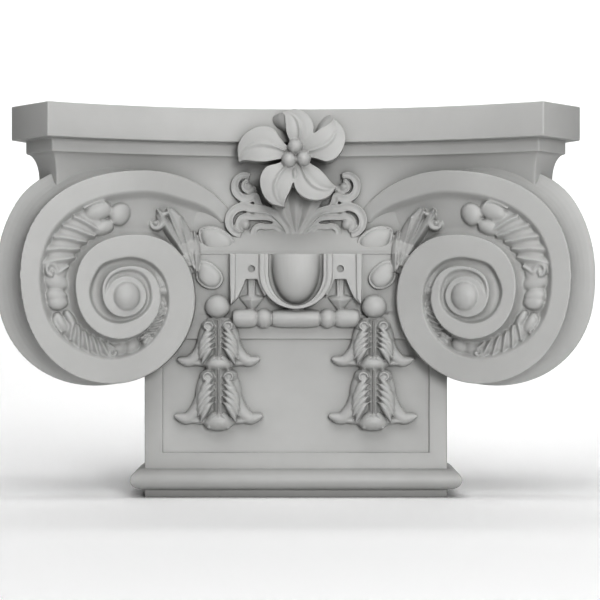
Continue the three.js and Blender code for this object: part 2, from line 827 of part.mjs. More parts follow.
function neckGarland(side) {
  const knot = [knotRadius, knotRadius * 0.9, knotRadius * 0.92];
  const knotDepth = groundDepth(garlandOut, knotHeight) + carvingSeat;
  const lobes = [
    [0.5, 4.57, 1.14, 0.9],
    [0.8, 2.43, 0.9, 1.14],
  ];
  return [
    ...lobes.map(([out, up, wide, tall]) => {
      const size = [wide, 0.93, tall].map((share) => share * knotRadius);
      const [x, z] = [garlandOut + out * knotRadius, knotHeight + up * knotRadius];
      return ball(side, x, groundDepth(x, z) + carvingSeat, z, size);
    }),
    ball(side, garlandOut, knotDepth, knotHeight, knot),
    ...fanLeaf(side),
    ...husks.flatMap((shape) => husk(side, shape)),
  ];
}

// The capital

const added = [neck().subtract(sunkPanel()), bell(), abacus(), ...eggAndDart(), ...beadAndReel()];
added.push(...flower(), ...stem());
for (const side of [-1, 1]) {
  added.push(volute(side), ...channelGarland(side), ...scrolledLeaves(side), ...neckGarland(side));
}
const whole = wasm.Manifold.union(added).simplify(0.08);

const { vertProperties, triVerts, numProp } = whole.getMesh();
const positions = new Float32Array((vertProperties.length / numProp) * 3);
for (let i = 0; i < positions.length / 3; i++) {
  positions.set(vertProperties.subarray(i * numProp, i * numProp + 3), i * 3);
}
const geometry = new THREE.BufferGeometry();
geometry.setAttribute("position", new THREE.BufferAttribute(positions, 3));
geometry.setIndex(new THREE.BufferAttribute(triVerts, 1));
geometry.computeVertexNormals();

const primedFoam = new THREE.MeshStandardMaterial({ color: 0xd2d1cf, roughness: 0.62, metalness: 0 });
const capital = new THREE.Mesh(geometry, primedFoam);
capital.name = "ionic_capital";

const model = new THREE.Group();
model.add(capital);

export default model;
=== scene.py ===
# The looks of the ionic pilaster capital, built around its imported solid.
# The crisp mouldings are modelled with Blender's own tools. The carving is laid down as overlapping
# closed forms, as a modeller builds up clay, and each piece is then remeshed and smoothed into one
# skin, which gives it the soft hollows of a moulded piece.
import math

import bmesh
import bpy
import numpy as np
from bpy.props import FloatProperty, IntProperty, PointerProperty, StringProperty
from bpy.types import Operator, Panel, PropertyGroup
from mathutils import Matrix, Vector


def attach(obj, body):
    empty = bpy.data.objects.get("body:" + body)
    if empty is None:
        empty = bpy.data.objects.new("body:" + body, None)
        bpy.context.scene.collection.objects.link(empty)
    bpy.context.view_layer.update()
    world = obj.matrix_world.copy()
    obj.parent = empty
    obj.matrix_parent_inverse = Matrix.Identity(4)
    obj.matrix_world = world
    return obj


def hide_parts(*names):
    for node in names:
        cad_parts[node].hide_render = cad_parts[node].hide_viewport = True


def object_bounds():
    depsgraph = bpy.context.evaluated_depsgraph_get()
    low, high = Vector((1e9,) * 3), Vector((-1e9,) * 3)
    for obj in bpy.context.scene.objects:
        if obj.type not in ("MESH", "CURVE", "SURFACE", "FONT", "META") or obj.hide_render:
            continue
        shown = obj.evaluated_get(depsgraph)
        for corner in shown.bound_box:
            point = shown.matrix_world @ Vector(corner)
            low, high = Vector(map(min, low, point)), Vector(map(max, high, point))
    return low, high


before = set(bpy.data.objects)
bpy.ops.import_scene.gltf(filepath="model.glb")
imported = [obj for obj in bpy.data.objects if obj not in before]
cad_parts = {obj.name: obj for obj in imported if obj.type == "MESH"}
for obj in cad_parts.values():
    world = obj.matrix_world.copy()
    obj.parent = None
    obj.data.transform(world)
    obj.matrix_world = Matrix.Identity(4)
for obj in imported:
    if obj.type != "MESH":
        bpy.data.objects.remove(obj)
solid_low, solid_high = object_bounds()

bl_info = {
    "name": "Ionic Pilaster Capital",
    "version": (1, 0, 0),
    "blender": (4, 5, 0),
    "location": "View3D > Sidebar > Capital",
    "description": "A moulded ionic pilaster capital with volutes, a flower and husk garlands",
    "category": "Add Mesh",
}

NODE = "ionic_capital"
MM = 0.001
BACK = solid_high.y / MM
TOP = solid_high.z / MM
# How far the clay runs into the wall before it is cut off, and how far short of the wall the
# volutes and the bell are cut, so that no two backs lie in one plane
PAST_WALL = 6
VOLUTE_SHORT = 0.3
BELL_SHORT = 0.6
# The most triangles that a piece keeps
TRIANGLES = {"volute": 190000, "bell": 180000, "flower": 150000, "garland": 120000}

# Neck and bell, in millimetres
NECK_HALF = 161
NECK_DEPTH = 70
FOOT_HEIGHT = 8.4
TORUS_HEIGHT = 22
TORUS_OUT = 14.5
PANEL_SIDE = 19
PANEL_SILL = 17
PANEL_HEIGHT = 121
PANEL_SINK = 3
LEDGE_HEIGHT = 259
LEDGE_DEPTH = 76
LEDGE_SLOPE = 22
WALL_DEPTH = 46
BELL_HALF = 128
BELL_FOOT = 192
BELL_TOP = TOP - 76
BELL_SLOPE = LEDGE_SLOPE + 14
NEST_HEIGHT = 58.5
EGG_HALF = 27
EGG_HEIGHT = 53.5
DART_OUT = 47
HOLE_HEIGHT = 243
HOLE_RADIUS = 3.8
BEAD_HEIGHT = 190.5

# Abacus
HORN_OUT = 253
HORN_DEPTH = 135
HORN_CUT = 46
ABACUS_MID = 71
PLATE_HEIGHT = 35.5
FILLET_HEIGHT = 14
FILLET_INSET = 12
COVE_HEIGHT = 27
COVE_INSET = 11

# Volutes: the rim's radius at each eighth of its first turn, from 45 degrees above the middle line
# over the top and outwards, and the width of its flat band at some angles
RIM = (150, 130, 123, 106, 99, 90, 80, 75)
TURN_SHRINK = 0.486
BANDS = ((38, 14), (60, 22), (120, 22), (190, 19), (245, 25), (400, 28), (455, 22.5), (498, 18.6),
         (540, 13), (630, 16), (720, 9), (810, 3), (1100, 2))
SPIRAL_START = 35
SPIRAL_END = 1000
EYE_OUT = 178
EYE_HEIGHT = 214
EYE_RADIUS = 14
FACE_TURN = math.radians(20)
CHANNEL_DROP = 8
DISC_RISE = 8
EYE_LIFT = 4
START_SINK = 17
START_SWEEP = 62
FLARE_OUT = 31.2
FLARE_BACK = 31

# Flower and garland
FLOWER_DROP = 50
GARLAND_OUT = 82
KNOT_HEIGHT = 203
KNOT_RADIUS = 13.5
STEM_FOOT = 279
PETAL_ROOT = 38.0

# In the photo's pixels: half its width, and the focal length
PHOTO_HALF = 300
PHOTO_FOCAL = 1461


def smooth(t):
    """Eases from 0 to 1."""
    k = np.clip(t, 0, 1)
    return k * k * (3 - 2 * k)


def mix(a, b, t):
    return a + (b - a) * t


# Clay: closed forms in millimetres, gathered in a list of (points, faces)


def shell(clay, rings):
    """A closed form through rings of as many points each."""
    rings = np.asarray(rings, float)
    m, n = rings.shape[:2]
    i, j = np.meshgrid(np.arange(m - 1), np.arange(n), indexing="ij")
    k = (j + 1) % n
    sides = np.stack([i * n + j, i * n + k, (i + 1) * n + k, (i + 1) * n + j], -1).reshape(-1, 4)
    ends = [list(range(n))[::-1], list(range((m - 1) * n, m * n))]
    clay.append((rings.reshape(-1, 3), sides.tolist() + ends))


def along(points, t):
    """Points of a smooth curve through the given ones, at shares t of its points."""
    p = np.asarray(points, float)
    p = np.vstack([2 * p[0] - p[1], p, 2 * p[-1] - p[-2]])
    x = np.clip(np.asarray(t, float), 0, 1) * (len(p) - 3)
    i = np.minimum(x.astype(int), len(p) - 4)
    u = (x - i)[:, None]
    a, b, c, d = p[i], p[i + 1], p[i + 2], p[i + 3]
    return 0.5 * (2 * b + (c - a) * u + (2 * a - 5 * b + 4 * c - d) * u**2
                  + (3 * b - a - 3 * c + d) * u**3)


# Cross-sections of a blade, from one edge at -1 to the other at 1


def round_top(s):
    return np.sqrt(np.clip(1 - s * s, 0, 1))


def keel_top(s):
    return 1 - np.abs(s) ** 1.3


def gutter_top(s):
    """Hollow between two raised rims."""
    return (0.72 + 0.28 * s * s) * (1 - np.abs(s) ** 12)


def belly(t, least=0.15, power=0.7):
    """The half width of a leaf along its length."""
    return least + (1 - least) * np.sin(np.pi * np.clip(t, 0, 1)) ** power


def blade(clay, lay, points, width, crown, base=0.0, root=8.0, top=round_top, steps=22, facets=10):
    """A carved blade along a curve on the surface that lay gives."""
    t = np.linspace(0, 1, steps + 1)
    path = along(points, t)
    run = np.gradient(path, axis=0)
    run /= np.linalg.norm(run, axis=1)[:, None] + 1e-9
    side = np.stack([run[:, 1], -run[:, 0]], 1)
    share = np.linspace(-1, 1, facets + 1)
    half = np.maximum(width(t) if callable(width) else width + 0 * t, 0.3)
    high = crown(t) if callable(crown) else crown + 0 * t
    floor = base(t) if callable(base) else base + 0 * t
    flat = path[:, None] + side[:, None] * (half[:, None] * share)[..., None]
    rise = floor[:, None] + high[:, None] * top(share)[None]
    flat = np.concatenate([flat, flat[:, -1:], flat[:, :1]], 1)
    rise = np.concatenate([rise, (floor - root)[:, None], (floor - root)[:, None]], 1)
    shell(clay, lay(flat[..., 0], flat[..., 1], rise))


def blob(clay, lay, middle, size, turn=0.0, base=0.0):
    """A rounded lump: half lengths along, across and up, on the surface that lay gives."""
    rings = []
    for a in np.linspace(0.04, math.pi - 0.04, 15):
        b = np.linspace(0, 2 * math.pi, 25)[:-1]
        x, y = size[0] * math.cos(a) + 0 * b, size[1] * math.sin(a) * np.cos(b)
        c, s = math.cos(turn), math.sin(turn)
        rings.append(lay(middle[0] + x * c - y * s, middle[1] + x * s + y * c,
                         base + size[2] * math.sin(a) * np.sin(b)))
    shell(clay, rings)


def pillow(clay, lay, outline, rise, base, root=10.0):
    """A low cushion with a smooth closed outline, and a fine raised line round it."""
    corners = np.asarray(outline, float)
    middle = corners.mean(axis=0)
    loop = along(np.vstack([corners[-1:], corners, corners[:2]]),
                 np.linspace(0, 1, 8 * len(corners) + 17))
    loop = loop[8:8 + 8 * len(corners)]
    rings = []
    for share, up in ((1, -root), (1, 0), (0.97, 0.35), (0.88, 0.65), (0.72, 0.85), (0.45, 0.97),
                      (0.03, 1)):
        p = middle + (loop - middle) * share
        rings.append(lay(p[:, 0], p[:, 1], base(p) + (up if up < 0 else up * rise)))
    shell(clay, rings)
    wide = middle + (np.vstack([loop, loop[:1]]) - middle) * 1.1
    blade(clay, lay, wide, 1.0, 2.2, lambda t: base(along(wide, t)), root, round_top, 80, 6)


def plate(clay, outline, low, high, lay):
    """A flat plate with an outline, between two heights over the surface that lay gives."""
    p = np.asarray(outline, float)
    shell(clay,
          [lay(p[:, 0], p[:, 1], low + 0 * p[:, 0]), lay(p[:, 0], p[:, 1], high + 0 * p[:, 0])])


# Surfaces that the carving lies on


def front(side):
    """Distance out from the middle, height, and depth in front of the back."""
    return lambda out, height, depth: np.stack(
        [side * out, BACK - depth + 0 * out, height + 0 * out], -1)


def shifted(lay, out, height, depth):
    return lambda a, b, rise: lay(out + a, height + b, depth + rise)


def volute_face(side):
    """Across from the eye outwards, up, and rise off the volute's turned face."""
    c, s = math.cos(FACE_TURN), math.sin(FACE_TURN)
    return lambda across, up, rise: np.stack(
        [side * (EYE_OUT + across * c - rise * s), BACK - (EYE_DEPTH + across * s + rise * c),
         EYE_HEIGHT + up], -1)


def polar(lay):
    """The same surface by radius and angle about the eye: 90 is up and 180 outwards."""
    return lambda radius, angle, rise: lay(
        -radius * np.cos(np.radians(angle)), radius * np.sin(np.radians(angle)), rise)


def rim_radius(angle):
    position = np.asarray(angle, float) / 45 - 1
    i = np.floor(position).astype(int)
    t = position - i
    table = np.log(RIM)
    a, b, c, d = (table[k % 8] + (k // 8) * math.log(TURN_SHRINK) for k in (i - 1, i, i + 1, i + 2))
    return np.exp(0.5 * (2 * b + (c - a) * t + (2 * a - 5 * b + 4 * c - d) * t**2
                         + (3 * b - a - 3 * c + d) * t**3))


def band_width(angle):
    angles, widths = zip(*BANDS)
    i = np.clip(np.searchsorted(angles, angle) - 1, 0, len(BANDS) - 2)
    a, w = np.asarray(angles, float), np.asarray(widths, float)
    return mix(w[i], w[i + 1], smooth((angle - a[i]) / (a[i + 1] - a[i])))


def band_rise(angle):
    return (DISC_RISE * smooth((angle - 270) / 180) + EYE_LIFT * smooth((angle - 450) / 450)
            - START_SINK * (1 - smooth((angle - SPIRAL_START) / START_SWEEP)))


def channel_floor(angle):
    return band_rise(angle) - CHANNEL_DROP * (1 - 0.55 * smooth((angle - 300) / 500))


def channel_middle(angle):
    return mix(rim_radius(angle) - band_width(angle), rim_radius(angle + 360), 0.5)


def channel_half(angle):
    return (rim_radius(angle) - band_width(angle) - rim_radius(angle + 360)) / 2 - 3


turns = np.arange(135, 226)
EYE_DEPTH = solid_high.y / MM - solid_low.y / MM - np.max(
    -rim_radius(turns) * np.cos(np.radians(turns))) * math.sin(FACE_TURN)


def in_channel(side, start, end):
    """The channel laid straight from its start: distance along it, across it outwards, and rise off
    its floor. Also the distance to its end."""
    lay = polar(volute_face(side))
    angles = np.linspace(start, end + 40, 400)
    lengths = np.concatenate([[0],
                              np.cumsum(np.radians(np.diff(angles)) * channel_middle(angles)[1:])])

    def place(along_it, across, rise):
        angle = np.interp(along_it, lengths, angles)
        return lay(channel_middle(angle) + across, angle, channel_floor(angle) + rise)

    return place, float(np.interp(end, angles, lengths))


def ground_depth(out, height):
    """How far the bell stands in front of the back."""
    foot = LEDGE_HEIGHT - NEST_HEIGHT
    low = mix(NECK_DEPTH, LEDGE_DEPTH, np.clip((height - foot) / NEST_HEIGHT, 0, 1))
    high = mix(LEDGE_DEPTH, WALL_DEPTH, np.clip((height - LEDGE_HEIGHT) / LEDGE_SLOPE, 0, 1))
    bell = np.where(height < LEDGE_HEIGHT, low, high)
    angle = np.degrees(np.arctan2(height - EYE_HEIGHT, EYE_OUT - out))
    channel = (EYE_DEPTH + (out - EYE_OUT) * math.tan(FACE_TURN)
               + channel_floor(angle) / math.cos(FACE_TURN))
    return np.maximum(bell, channel)


# From clay to pieces


def bare():
    """Nothing selected, in object mode."""
    if bpy.context.object and bpy.context.object.mode != "OBJECT":
        bpy.ops.object.mode_set(mode="OBJECT")
    bpy.ops.object.select_all(action="DESELECT")


def pick(obj):
    bare()
    obj.select_set(True)
    bpy.context.view_layer.objects.active = obj


def apply_all(obj):
    pick(obj)
    for modifier in list(obj.modifiers):
        bpy.ops.object.modifier_apply(modifier=modifier.name)


def mesh_piece(name, clay):
    """One object that holds all the clay, in metres."""
    points, faces, start = [], [], 0
    for p, f in clay:
        points.append(p * MM)
        faces += [[v + start for v in face] for face in f]
        start += len(p)
    mesh = bpy.data.meshes.new(name)
    mesh.from_pydata(np.concatenate(points).tolist(), [], faces)
    mesh.update()
    obj = bpy.data.objects.new(name, mesh)
    bpy.context.scene.collection.objects.link(obj)
    pick(obj)
    bpy.ops.object.mode_set(mode="EDIT")
    bpy.ops.mesh.select_all(action="SELECT")
    bpy.ops.mesh.normals_make_consistent(inside=False)
    bpy.ops.object.mode_set(mode="OBJECT")
    return obj


def cut_back(obj, back):
    """Cuts the piece off flat at the wall, and closes it."""
    pick(obj)
    bpy.ops.object.mode_set(mode="EDIT")
    bpy.ops.mesh.select_all(action="SELECT")
    bpy.ops.mesh.bisect(plane_co=(0, back * MM, 0), plane_no=(0, 1, 0), use_fill=True,
                        clear_outer=True, threshold=1e-6)
    bpy.ops.object.mode_set(mode="OBJECT")


def moulded(name, clay, most, fine=True, back=None):
    """Runs overlapping forms together into one skin with soft hollows, cut off flat at the back."""
    sizes = bpy.context.scene.capital_sizes
    obj = mesh_piece(name, clay)
    skin = obj.modifiers.new("skin", "REMESH")
    skin.mode = "VOXEL"
    skin.voxel_size = (sizes.fine_grain if fine else sizes.grain) * MM
    soft = obj.modifiers.new("soft", "SMOOTH")
    soft.factor = 0.5
    soft.iterations = sizes.softness
    apply_all(obj)
    if back:
        cut_back(obj, back)
    triangles = sum(len(f.vertices) - 2 for f in obj.data.polygons)
    if triangles > most:
        thin = obj.modifiers.new("thin", "DECIMATE")
        thin.ratio = most / triangles
        apply_all(obj)
    return obj


def dress(obj, name, angle=40):
    """Names a finished piece, gives it the primer, parents it to the root body, and hides the solid
    in its place.
    """
    obj.name = name
    obj.data.name = name
    pick(obj)
    bpy.ops.object.shade_smooth_by_angle(angle=math.radians(angle))
    obj.data.materials.clear()
    obj.data.materials.append(primed_foam())
    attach(obj, "root")
    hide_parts(NODE)


# Materials


def colour(hex_code):
    """An sRGB hex value as linear red, green, blue and alpha."""
    parts = [int(hex_code.lstrip("#")[i:i + 2], 16) / 255 for i in (0, 2, 4)]
    return [c / 12.92 if c <= 0.04045 else ((c + 0.055) / 1.055) ** 2.4 for c in parts] + [1]


def node(tree, kind, settings=None, inputs=None, links=None):
    """Adds a node, with its settings, its inputs' values and the sockets linked to them."""
    made = tree.nodes.new(kind)
    for key, value in (settings or {}).items():
        setattr(made, key, value)
    for key, value in (inputs or {}).items():
        made.inputs[key].default_value = value
    for key, socket in (links or {}).items():
        tree.links.new(socket, made.inputs[key])
    return made


def primed_foam():
    """Rigid polyurethane foam, moulded and sprayed with a factory primer.

    The primer is a flat, slightly chalky grey-white with a weak sheen. The spray leaves a fine
    orange peel and a very faint cloudiness. The hollows get painted shade: their colour is darkened
    by how occluded they are."""
    name = "factory-primed polyurethane foam"
    if name in bpy.data.materials:
        return bpy.data.materials[name]
    finish = bpy.context.scene.capital_finish
    material = bpy.data.materials.new(name)
    material.use_nodes = True
    tree = material.node_tree
    tree.nodes.clear()
    place = node(tree, "ShaderNodeTexCoord")
    # Clouds of 40 mm in the sprayed coat
    clouds = node(tree, "ShaderNodeTexNoise",
                  inputs={"Scale": 25.0, "Detail": 3.0, "Roughness": 0.55},
                  links={"Vector": place.outputs["Object"]})
    tint = node(tree, "ShaderNodeMix", {"data_type": "RGBA"},
                {"A": colour(finish.primer), "B": colour(finish.primer_thin)})
    cloud_share = node(tree, "ShaderNodeMapRange",
                       inputs={"From Min": 0.35, "From Max": 0.75, "To Min": 0.0, "To Max": 0.5},
                       links={"Value": clouds.outputs["Fac"]})
    tree.links.new(cloud_share.outputs["Result"], tint.inputs["Factor"])
    # Painted shade: the colour is darkened in the hollows, by as much as they are occluded nearby
    hollow = node(tree, "ShaderNodeAmbientOcclusion", {"samples": 6}, {"Distance": 0.014})
    thin = node(tree, "ShaderNodeMapRange",
                inputs={"From Min": 0.2, "From Max": 0.9, "To Min": 0.5, "To Max": 0.0},
                links={"Value": hollow.outputs["AO"]})
    # The primer mixed towards the painted shade colour in the hollows
    coat = node(tree, "ShaderNodeMix", {"data_type": "RGBA"}, {"B": colour(finish.painted_hollow_shade)},
                {"A": tint.outputs["Result"], "Factor": thin.outputs["Result"]})
    # The orange peel's grain is 0.6 mm: drawn at 1.5 mm, as coarse as it has to be to show
    peel = node(tree, "ShaderNodeTexNoise", inputs={"Scale": 650.0, "Detail": 2.0},
                links={"Vector": place.outputs["Object"]})
    dents = node(tree, "ShaderNodeTexNoise", inputs={"Scale": 60.0, "Detail": 1.0},
                 links={"Vector": place.outputs["Object"]})
    wave = node(tree, "ShaderNodeBump", inputs={"Strength": 0.25, "Distance": 0.0004},
                links={"Height": dents.outputs["Fac"]})
    skin = node(tree, "ShaderNodeBump", inputs={"Strength": 0.18, "Distance": 0.00012},
                links={"Height": peel.outputs["Fac"], "Normal": wave.outputs["Normal"]})
    shine = node(tree, "ShaderNodeMapRange",
                 inputs={"To Min": finish.roughness - 0.05, "To Max": finish.roughness + 0.05},
                 links={"Value": clouds.outputs["Fac"]})
    body = node(tree, "ShaderNodeBsdfPrincipled", inputs={"IOR": 1.47, "Specular IOR Level": 0.4},
                links={"Base Color": coat.outputs["Result"], "Roughness": shine.outputs["Result"],
                       "Normal": skin.outputs["Normal"]})
    node(tree, "ShaderNodeOutputMaterial", links={"Surface": body.outputs["BSDF"]})
    return material


def studio_paper(name, hex_code):
    """Matte seamless paper, plain and pale."""
    material = bpy.data.materials.new(name)
    material.use_nodes = True
    body = material.node_tree.nodes["Principled BSDF"]
    body.inputs["Base Color"].default_value = colour(hex_code)
    body.inputs["Roughness"].default_value = 0.9
    return material


# Sizes, colours and lights that a user would change


class CapitalSizes(PropertyGroup):
    grain: FloatProperty(
        name="Grain", description="Size of the cells that the carving is run together with, in mm",
        default=0.9, min=0.4, max=3.0)
    fine_grain: FloatProperty(
        name="Fine grain", description="The same for the flower and the garlands, in mm",
        default=0.7, min=0.4, max=3.0)
    softness: IntProperty(
        name="Softness", description="How many times the moulded skin is smoothed",
        default=3, min=0, max=20)
    edge: FloatProperty(
        name="Edge", description="Rounding of the mouldings' edges", default=0.0012,
        unit="LENGTH", subtype="DISTANCE", min=0.0002, max=0.004)


class CapitalFinish(PropertyGroup):
    primer: StringProperty(name="Primer", description="Colour of the primer, sRGB hex",
                           default="#B8B8B7")
    primer_thin: StringProperty(
        name="Thin primer", description="Where the coat lies thinner, sRGB hex", default="#B2B2B1")
    # Painted shade: the colour that the hollows are darkened towards
    painted_hollow_shade: StringProperty(
        name="Painted shade in hollows", description="Colour painted into the hollows as shade, sRGB hex",
        default="#8E8E8C")
    roughness: FloatProperty(
        name="Roughness", description="Roughness of the primer", default=0.5, min=0, max=1)


class CapitalStage(PropertyGroup):
    floor: StringProperty(name="Floor", description="Colour of the floor, sRGB hex",
                          default="#FAFAFA")
    camera_distance: FloatProperty(
        name="Camera distance", description="From the wall to the camera", default=1.625,
        unit="LENGTH", subtype="DISTANCE")
    camera_height: FloatProperty(
        name="Camera height", description="Height of the camera", default=0.21,
        unit="LENGTH", subtype="DISTANCE")
    camera_aside: FloatProperty(
        name="Camera aside", description="How far the camera stands to the right", default=0.0044,
        unit="LENGTH", subtype="DISTANCE")
    field: FloatProperty(
        name="Field of view", description="The camera's angle of view",
        default=2 * math.atan(PHOTO_HALF / PHOTO_FOCAL), subtype="ANGLE", unit="ROTATION")
    key: FloatProperty(name="Key light", description="Power of the key light", default=44.0,
                       unit="POWER")
    overhead: FloatProperty(name="Overhead light", description="Power of the light over the floor",
                            default=50.0, unit="POWER")
    backdrop: FloatProperty(name="Backdrop light", description="Power of the light on the backdrop",
                            default=44.0, unit="POWER")
    room: FloatProperty(name="Room light", description="Strength of the room's own light",
                        default=0.05)
    contrast: FloatProperty(name="Contrast", description="The picture's gamma", default=0.62)


# Mouldings, modelled with Blender's own tools


def select_facing(obj, direction):
    """In edit mode: selects the faces that look in a direction."""
    bpy.ops.mesh.select_all(action="DESELECT")
    mesh = bmesh.from_edit_mesh(obj.data)
    for face in mesh.faces:
        if face.normal.dot(Vector(direction)) > 0.99:
            face.select_set(True)
    bmesh.update_edit_mesh(obj.data)


def block(x, y, z):
    """A cube primitive between the given limits in x, y and z, in millimetres."""
    bare()
    middle = [(a + b) / 2 * MM for a, b in (x, y, z)]
    bpy.ops.mesh.primitive_cube_add(size=1, location=middle)
    obj = bpy.context.object
    obj.scale = [(b - a) * MM for a, b in (x, y, z)]
    bpy.ops.object.transform_apply(location=True, rotation=True, scale=True)
    return obj


def carve_away(obj, cutter):
    """Takes the cutter's form out of the piece, and deletes the cutter."""
    cut = obj.modifiers.new("cut", "BOOLEAN")
    cut.operation = "DIFFERENCE"
    cut.solver = "EXACT"
    cut.object = cutter
    apply_all(obj)
    bpy.data.objects.remove(cutter)


def soften_edges(obj, width):
    bevel = obj.modifiers.new("edge", "BEVEL")
    bevel.width = width
    bevel.segments = 3
    bevel.limit_method = "ANGLE"
    bevel.angle_limit = math.radians(30)
    apply_all(obj)


def abacus_ring(inset, height, arc=72, side=24):
    """The abacus's outline drawn in by an inset: out from the middle against depth, all in arcs."""
    sag = HORN_DEPTH - ABACUS_MID
    radius = (HORN_OUT**2 + sag**2) / (2 * sag) + inset
    middle = ABACUS_MID - inset + radius
    swap = HORN_OUT + HORN_CUT - HORN_DEPTH
    # Where the front's arc meets the cut across the horn
    rest = HORN_OUT + HORN_DEPTH - inset * math.sqrt(2) - middle
    corner = (rest + math.sqrt(2 * radius**2 - rest**2)) / 2
    turn = np.linspace(0, math.asin(corner / radius), arc + 1)
    out, depth = radius * np.sin(turn), middle - radius * np.cos(turn)
    # The side's arc is the front's, mirrored across the horn, as far as the wall
    reach = np.linspace(corner, swap, side + 1)
    flank = np.stack([middle - np.sqrt(radius**2 - reach**2) + swap, reach - swap], 1)
    right = np.concatenate([np.stack([out, depth], 1), flank])
    ring = np.concatenate([right, (right * (-1, 1))[:0:-1]])
    return front(1)(ring[:, 0], height + 0 * ring[:, 0], ring[:, 1])


def abacus():
    """The concave plate with cut corners, and the fillet and cove under it."""
    turn = np.linspace(0, math.pi / 2, 13)
    low = TOP - PLATE_HEIGHT - FILLET_HEIGHT
    levels = [(0, TOP), (0, TOP - PLATE_HEIGHT), (FILLET_INSET, TOP - PLATE_HEIGHT),
              (FILLET_INSET, low)]
    levels += list(zip(FILLET_INSET + COVE_INSET * np.sin(turn),
                       low - COVE_HEIGHT * (1 - np.cos(turn))))[1:]
    levels.append((FILLET_INSET + COVE_INSET, LEDGE_HEIGHT + LEDGE_SLOPE))
    clay = []
    shell(clay, [abacus_ring(*level) for level in levels])
    obj = mesh_piece("abacus", clay)
    soften_edges(obj, bpy.context.scene.capital_sizes.edge)
    dress(obj, "abacus", 35)


def neck():
    """The panelled neck, the torus that runs round three sides of it, and the foot."""
    foot = FOOT_HEIGHT + TORUS_HEIGHT
    obj = block((-NECK_HALF, NECK_HALF), (BACK - NECK_DEPTH, BACK + 60), (foot, LEDGE_HEIGHT - 50))
    pick(obj)
    bpy.ops.object.mode_set(mode="EDIT")
    select_facing(obj, (0, 0, -1))
    turn = np.linspace(0, math.pi, 21)
    out, down = TORUS_OUT * np.sin(turn), TORUS_HEIGHT / 2 * (1 - np.cos(turn))
    for i in range(1, len(turn)):
        bpy.ops.mesh.extrude_region_move(
            TRANSFORM_OT_translate={"value": (0, 0, (down[i - 1] - down[i]) * MM)})
        grow = [(size + out[i]) / (size + out[i - 1]) for size in (NECK_HALF, NECK_DEPTH)]
        bpy.ops.transform.resize(value=(*grow, 1), center_override=(0, BACK * MM, 0))
    bpy.ops.mesh.extrude_region_move(TRANSFORM_OT_translate={"value": (0, 0, -FOOT_HEIGHT * MM)})
    bpy.ops.object.mode_set(mode="OBJECT")
    cut_back(obj, BACK)
    half = NECK_HALF - PANEL_SIDE
    low = foot + PANEL_SILL
    sunk = block((-half, half), (BACK - NECK_DEPTH - 6, BACK - NECK_DEPTH + PANEL_SINK),
                 (low, low + PANEL_HEIGHT))
    carve_away(obj, sunk)
    soften_edges(obj, bpy.context.scene.capital_sizes.edge)
    dress(obj, "neck", 35)


# Carving


def bell_body(clay):
    """The bell's ground between the volutes, with the ledge over the egg-and-dart."""
    z = np.linspace(LEDGE_HEIGHT, LEDGE_HEIGHT + BELL_SLOPE, 12)
    t = (z - LEDGE_HEIGHT) / BELL_SLOPE
    slope = list(zip(mix(LEDGE_DEPTH, WALL_DEPTH, t**0.75), z))
    section = [(-PAST_WALL, BELL_FOOT), (NECK_DEPTH, BELL_FOOT), (NECK_DEPTH, BELL_FOOT + 8),
               (LEDGE_DEPTH - 1, LEDGE_HEIGHT)]
    section += slope + [(WALL_DEPTH, BELL_TOP), (-PAST_WALL, BELL_TOP)]
    depth, height = np.array(section).T
    shell(clay, [front(1)(x + 0 * depth, height, depth) for x in (-BELL_HALF, BELL_HALF)])


def arch(half, drop):
    """The outline of an egg's nest: straight down from the ledge, and round below."""
    straight = drop * 0.36
    a = np.linspace(math.pi, 2 * math.pi, 28)
    curve = np.stack([half * np.cos(a), LEDGE_HEIGHT - straight + drop * 0.64 * np.sin(a)], 1)
    return [(-half, LEDGE_HEIGHT)] + curve.tolist() + [(half, LEDGE_HEIGHT)]


def egg_and_dart(clay):
    """The egg in its nest, and on each side a plaque with a dart under it."""
    lay = front(1)
    face = LEDGE_DEPTH + 5
    outer, inner, lip = arch(38.5, NEST_HEIGHT), arch(29, 55), arch(33, 56.5)
    plate(clay, outer + inner[::-1], NECK_DEPTH - 8, face + 1.5, lay)
    plate(clay, outer + lip[::-1], NECK_DEPTH - 8, face + 3, lay)
    # The egg hangs from the ledge and swells towards its lower end
    rings = []
    for t in np.linspace(0, 0.985, 22):
        a = np.linspace(0, 2 * math.pi, 41)[:-1]
        w = EGG_HALF * math.sqrt(1 - t**2.6)
        d = (15 + 3 * math.sin(math.pi * t)) * math.sqrt(1 - t**3)
        rings.append(lay(w * np.cos(a), LEDGE_HEIGHT - EGG_HEIGHT * t + 0 * a,
                         NECK_DEPTH + d * np.sin(a)))
    shell(clay, rings)
    for side in (-1, 1):
        # The plaque beside the nest, cut away over the dart, with its lower edge swept outwards
        t = np.linspace(0, 1, 9)
        sweep = along([(41, 232), (37, 222), (32, 213)], t)[::-1]
        swag = along([(53, 232), (57, 222), (62, 212), (69, 205)], t)
        outline = [(36, LEDGE_HEIGHT)] + sweep.tolist() + swag.tolist() + [(70, LEDGE_HEIGHT)]
        plate(clay, outline, NECK_DEPTH - 8, face, front(side))
        frame_strip = [(64, LEDGE_HEIGHT), (64.5, 212), (69, 205), (70, LEDGE_HEIGHT)]
        plate(clay, frame_strip, NECK_DEPTH, face + 2, front(side))
        # The dart: a stem and a faceted head
        for share in (-1, 0, 1):
            blade(clay, front(side), [(DART_OUT + share * 3, 235), (DART_OUT + share * 2.4, 214)],
                  1.7, 3.5, NECK_DEPTH + 2, 8)
        rings = []
        for z, w, r in ((216, 3, 4), (213, 13, 6), (210, 11, 9), (197, 0.8, 2)):
            out = np.array([-w, -w * 0.35, 0, w * 0.35, w, w, -w])
            up = np.array([0.35, 0.8, 1, 0.8, 0.35, 0, 0]) * r
            up[-2:] = -8
            rings.append(front(side)(DART_OUT + out, z + 0 * out, NECK_DEPTH + 1 + up))
        shell(clay, rings)


